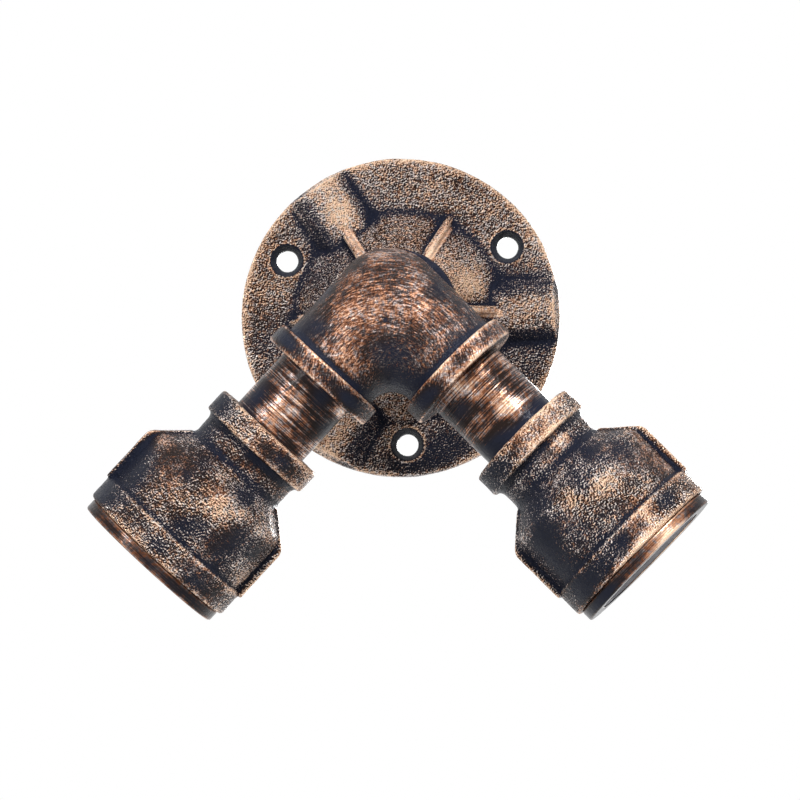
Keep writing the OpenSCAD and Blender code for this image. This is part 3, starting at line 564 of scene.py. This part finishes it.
flange = casting("flange_casting", "wall_flange", FLANGE_SEED, special=flange_marks)
flange_bronze = antique(
    "flange_bronze", FLANGE_SEED, grain=(2100.0, 2.2), patch=(75.0, 0.7), level=-0.04)
dress(flange, flange_bronze)

elbow = casting(
    "elbow_casting", "side_outlet_elbow", ELBOW_SEED, rounds=5, grit=(0.7, 0.02, 0.0),
    special=elbow_marks)
elbow_bronze = antique(
    "elbow_bronze", ELBOW_SEED, grain=(1500.0, 0.45), patch=(80.0, 1.0),
    brush=((2500, 300, 300), 1.3, 0.9), level=-0.11, depth=0.3, bend=ELBOW_BEND)
dress(elbow, elbow_bronze)

for i, side in enumerate(SIDES):
    arm_place = (ARM_TURN[side], tuple(ELBOW))
    socket = casting(
        f"{side}_socket_casting", f"{side}_reducer", SOCKET_SEED + i, rounds=8,
        grit=(0.7, 0.06, 0.06))
    socket_bronze = antique(
        f"{side}_socket_bronze", SOCKET_SEED + i, arm_place, grain=(2000.0, 2.5),
        patch=(100.0, 1.35), level=-0.10, smooth=0.6)
    dress(socket, socket_bronze)
    pipe = casting(
        f"{side}_pipe_skin", f"{side}_arm_nipple", PIPE_SEED + i, rounds=1, rough=0.1,
        grit=NO_GRIT)
    pipe_bronze = antique(
        f"{side}_pipe_bronze", PIPE_SEED + i, arm_place, grain=(900.0, 0.3), patch=(120.0, 1.3),
        brush=((70, 70, 2600), 1.5, 0.8), level=-0.08, depth=0.15)
    dress(pipe, pipe_bronze)
    ring = casting(
        f"{side}_ring_skin", f"{side}_lamp_ring", RING_SEED + i, voxel=0.3 * MM, rounds=2,
        rough=0.1, grit=NO_GRIT)
    ring_bronze = antique(
        f"{side}_ring_bronze", RING_SEED + i, arm_place, grain=(900.0, 0.2), patch=(120.0, 0.5),
        brush=((60, 60, 2900), 0.8, 0.5), level=-0.24, depth=0.08)
    dress(ring, ring_bronze)

# What is inside

porcelain = Shader("porcelain", Base_Color=(0.82, 0.80, 0.74), Roughness=0.18, Coat_Weight=0.5)
porcelain.bump(porcelain.noise(porcelain.place(), 260.0, 2.0), 0.05 * MM)

DARK_BRASS, PALE_BRASS = (0.62, 0.44, 0.18), (0.80, 0.62, 0.30)
brass = Shader("brass_sheet", Metallic=1.0)
on_brass = brass.place()
brass_tone = brass.mix(brass.noise(on_brass, 240.0, 3.0), DARK_BRASS, PALE_BRASS)
brass.put(brass.surface.inputs["Base Color"], brass_tone)
brass_rough = brass.total(0.18, (brass.noise(on_brass, 900.0), 0.3))
brass.put(brass.surface.inputs["Roughness"], brass_rough)
brass.bump(brass.noise(on_brass, 2200.0, 2.0), 0.01 * MM)


def plain(name, colour, other, roughness, scale, depth, metallic=0.0):
    """An even finish between two close colours, with a fine bump of some depth in mm."""
    s = Shader(name, Metallic=metallic)
    where = s.place()
    cloud = s.noise(where, scale, 3.0)
    s.put(s.surface.inputs["Base Color"], s.mix(cloud, colour, other))
    s.put(s.surface.inputs["Roughness"], s.total(roughness, (cloud, 0.2)))
    s.bump(s.noise(where, scale * 4, 2.0), depth * MM)
    return s.material


FINISHES = {
    "porcelain": porcelain.material,
    "brass": brass.material,
    "spring_steel": plain(
        "spring_steel", (0.16, 0.16, 0.18), (0.34, 0.34, 0.36), 0.25, 500.0, 0.01, 1.0),
    "screw_steel": plain(
        "screw_steel", (0.50, 0.50, 0.52), (0.68, 0.68, 0.68), 0.25, 700.0, 0.01, 1.0),
    "black_sleeve": plain(
        "black_sleeve", (0.018, 0.018, 0.02), (0.04, 0.04, 0.045), 0.45, 400.0, 0.02),
    "white_sleeve": plain(
        "white_sleeve", (0.70, 0.69, 0.64), (0.80, 0.79, 0.75), 0.45, 400.0, 0.02),
    "earth_green": plain(
        "earth_green", (0.03, 0.24, 0.09), (0.06, 0.34, 0.14), 0.3, 500.0, 0.01, 0.6),
    "pipe_bronze": bpy.data.materials["left_pipe_bronze"],
}
for row in frame["record"]["subparts"]:
    if row["material_slot"] in FINISHES and "arm_nipple" not in row["node"]:
        dress(frame["nodes"][row["node"]], FINISHES[row["material_slot"]])
for side in SIDES:
    dress(rolled_thread(side), brass.material)

# White studio, lights and camera

# The floor is white up to its shadow and clear from underneath, where the mouths are looked into
FLOOR_Z = -0.32
FLOOR_SIZE = 30
FLOOR_GLOW = 0.85
FLOOR_WHITENS = (0.4, 1.6)
bpy.ops.mesh.primitive_plane_add(size=FLOOR_SIZE, location=(0, 0, FLOOR_Z))
floor = bpy.context.object
floor.name = "floor"
paper = Shader("floor_paper", Base_Color=(0.50, 0.50, 0.50), Roughness=0.7)
far = paper.node("VectorMath", {0: paper.place()}, operation="LENGTH").outputs["Value"]
glow = paper.total(FLOOR_GLOW, (paper.step(far, *FLOOR_WHITENS), 1 - FLOOR_GLOW))
path = paper.node("LightPath", {}).outputs
lit = paper.math("MAXIMUM", path["Is Camera Ray"], path["Is Glossy Ray"])
paper.put(paper.surface.inputs["Emission Color"], (1, 1, 1))
paper.put(paper.surface.inputs["Emission Strength"], paper.math("MULTIPLY", glow, lit))
paper.one_sided()
floor.data.materials.append(paper.material)

# The world is white where it is seen, mirrored or looked through, and lights the piece faintly
SKY_LIGHT = 0.08
scene = bpy.context.scene
world = bpy.data.worlds.new("studio")
scene.world = world
world.use_nodes = True
sky = world.node_tree
sky.nodes.clear()


def sky_node(kind, **settings):
    made = sky.nodes.new("ShaderNode" + kind)
    for key, value in settings.items():
        setattr(made, key, value)
    return made


rays = sky_node("LightPath")
most = sky_node("Math", operation="MAXIMUM")
any_seen = sky_node("Math", operation="MAXIMUM")
strength = sky_node("MapRange")
back = sky_node("Background")
world_out = sky_node("OutputWorld")
sky.links.new(rays.outputs["Is Camera Ray"], most.inputs[0])
sky.links.new(rays.outputs["Is Glossy Ray"], most.inputs[1])
sky.links.new(most.outputs[0], any_seen.inputs[0])
sky.links.new(rays.outputs["Is Transmission Ray"], any_seen.inputs[1])
sky.links.new(any_seen.outputs[0], strength.inputs["Value"])
strength.inputs["To Min"].default_value = SKY_LIGHT
strength.inputs["To Max"].default_value = 1.0
back.inputs["Color"].default_value = (1, 1, 1, 1)
sky.links.new(strength.outputs[0], back.inputs["Strength"])
sky.links.new(back.outputs[0], world_out.inputs[0])


LIGHT_AIM = Vector((0, -0.04, -0.02))


def softbox(name, place, size, watts):
    light = bpy.data.lights.new(name, "AREA")
    light.shape = "RECTANGLE"
    light.size = light.size_y = size
    light.energy = watts
    lamp = bpy.data.objects.new(name, light)
    scene.collection.objects.link(lamp)
    lamp.location = place
    lamp.rotation_euler = (LIGHT_AIM - Vector(place)).to_track_quat("-Z", "Y").to_euler()


softbox("key", (0.26, -0.50, 0.48), 0.10, 4.6)
softbox("second", (-0.36, -0.60, 0.26), 0.09, 2.65)
softbox("behind", (0.10, 0.70, 0.05), 0.20, 3.0)

# The camera stands where a fit to the photograph's corner points puts it
IMAGE_PX = 800
CAMERA_FAR = 1.6
FOCAL_PX = 5079.5
YAW, PITCH, ROLL = (math.radians(a) for a in (3.95, -3.88, -1.14))
AIM = Vector((0, -0.025, -0.035))
AIM_PX = (398.16, 422.4)
toward = Vector((
    math.sin(YAW) * math.cos(PITCH), -math.cos(YAW) * math.cos(PITCH), math.sin(PITCH)
))
camera_data = bpy.data.cameras.new("camera")
camera_data.sensor_width = 36
camera_data.lens = FOCAL_PX / IMAGE_PX * camera_data.sensor_width
camera_data.shift_x = 0.5 - AIM_PX[0] / IMAGE_PX
camera_data.shift_y = AIM_PX[1] / IMAGE_PX - 0.5
camera = bpy.data.objects.new("camera", camera_data)
scene.collection.objects.link(camera)
camera.location = AIM + toward * CAMERA_FAR
side_way = (-toward).cross(Vector((0, 0, 1))).normalized()
up_way = side_way.cross(-toward)
right_way = math.cos(ROLL) * side_way + math.sin(ROLL) * up_way
up_way = -math.sin(ROLL) * side_way + math.cos(ROLL) * up_way
camera.rotation_euler = Matrix((right_way, up_way, toward)).transposed().to_euler()
scene.camera = camera
scene.view_settings.view_transform = "Standard"
